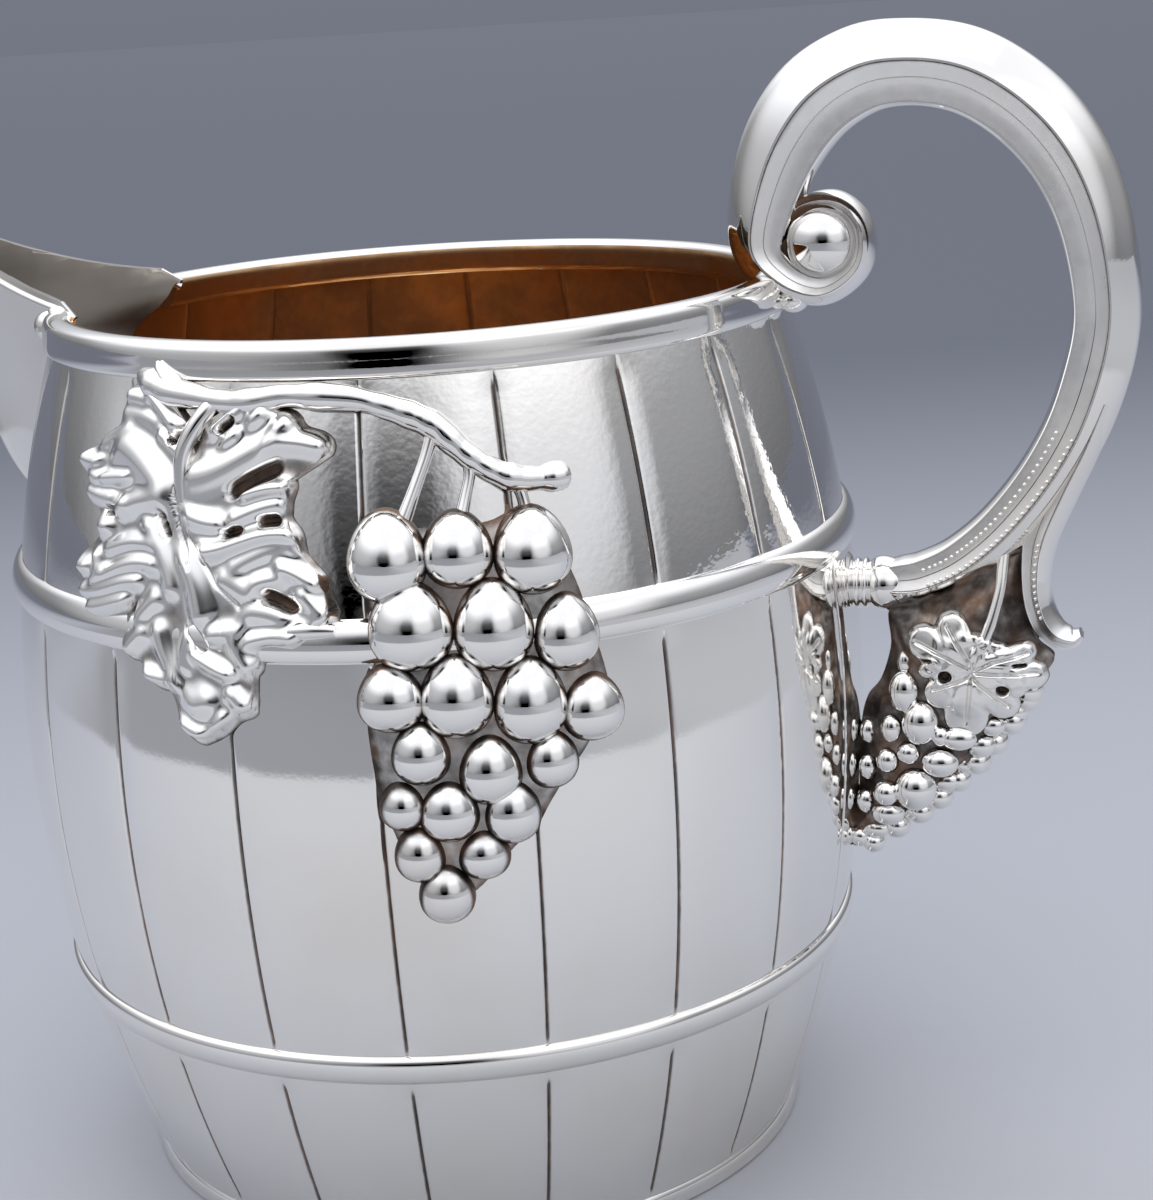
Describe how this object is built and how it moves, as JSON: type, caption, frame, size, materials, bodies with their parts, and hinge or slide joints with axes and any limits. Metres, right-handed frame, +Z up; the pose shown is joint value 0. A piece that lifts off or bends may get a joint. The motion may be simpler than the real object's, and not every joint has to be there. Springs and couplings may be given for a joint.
{
  "type": "wine jug",
  "caption": "Barrel-shaped silver wine jug with stave lines, hoops, a beak spout, a scroll handle with a grape bracket and applied vine ornament; open at the top",
  "frame": {"origin": "centre of the foot, on the table", "axes": "+Z up, +X towards the handle, -X towards the spout, -Y the left side"},
  "size_m": [0.2249, 0.1616, 0.2018],
  "materials": {
    "polished_silver": "mirror-polished silver",
    "gilt_lined_silver": "mirror-polished silver outside, aged gilding inside",
    "chased_silver": "polished silver with dark oxide in the hollows"
  },
  "bodies": {
    "root": {"barrel_wall": "gilt_lined_silver", "base_plate": "polished_silver", "foot_band": "polished_silver", "lower_hoop": "polished_silver", "upper_hoop": "polished_silver", "mouth_band": "polished_silver", "spout": "polished_silver", "handle_left_half": "polished_silver", "handle_right_half": "polished_silver", "scroll_eye_left": "polished_silver", "scroll_eye_right": "polished_silver", "handle_collar": "polished_silver", "rim_saddle": "polished_silver", "handle_tail": "polished_silver", "bracket_bunch_left": "chased_silver", "bracket_bunch_right": "chased_silver", "bracket_leaf_left": "chased_silver", "bracket_leaf_right": "chased_silver", "vine_branch_left": "chased_silver", "vine_branch_right": "chased_silver", "vine_leaf_left": "chased_silver", "vine_leaf_right": "chased_silver", "grape_bunch_left": "chased_silver", "grape_bunch_right": "chased_silver", "grape_stems_left": "chased_silver", "grape_stems_right": "chased_silver"}
  },
  "joints": []
}
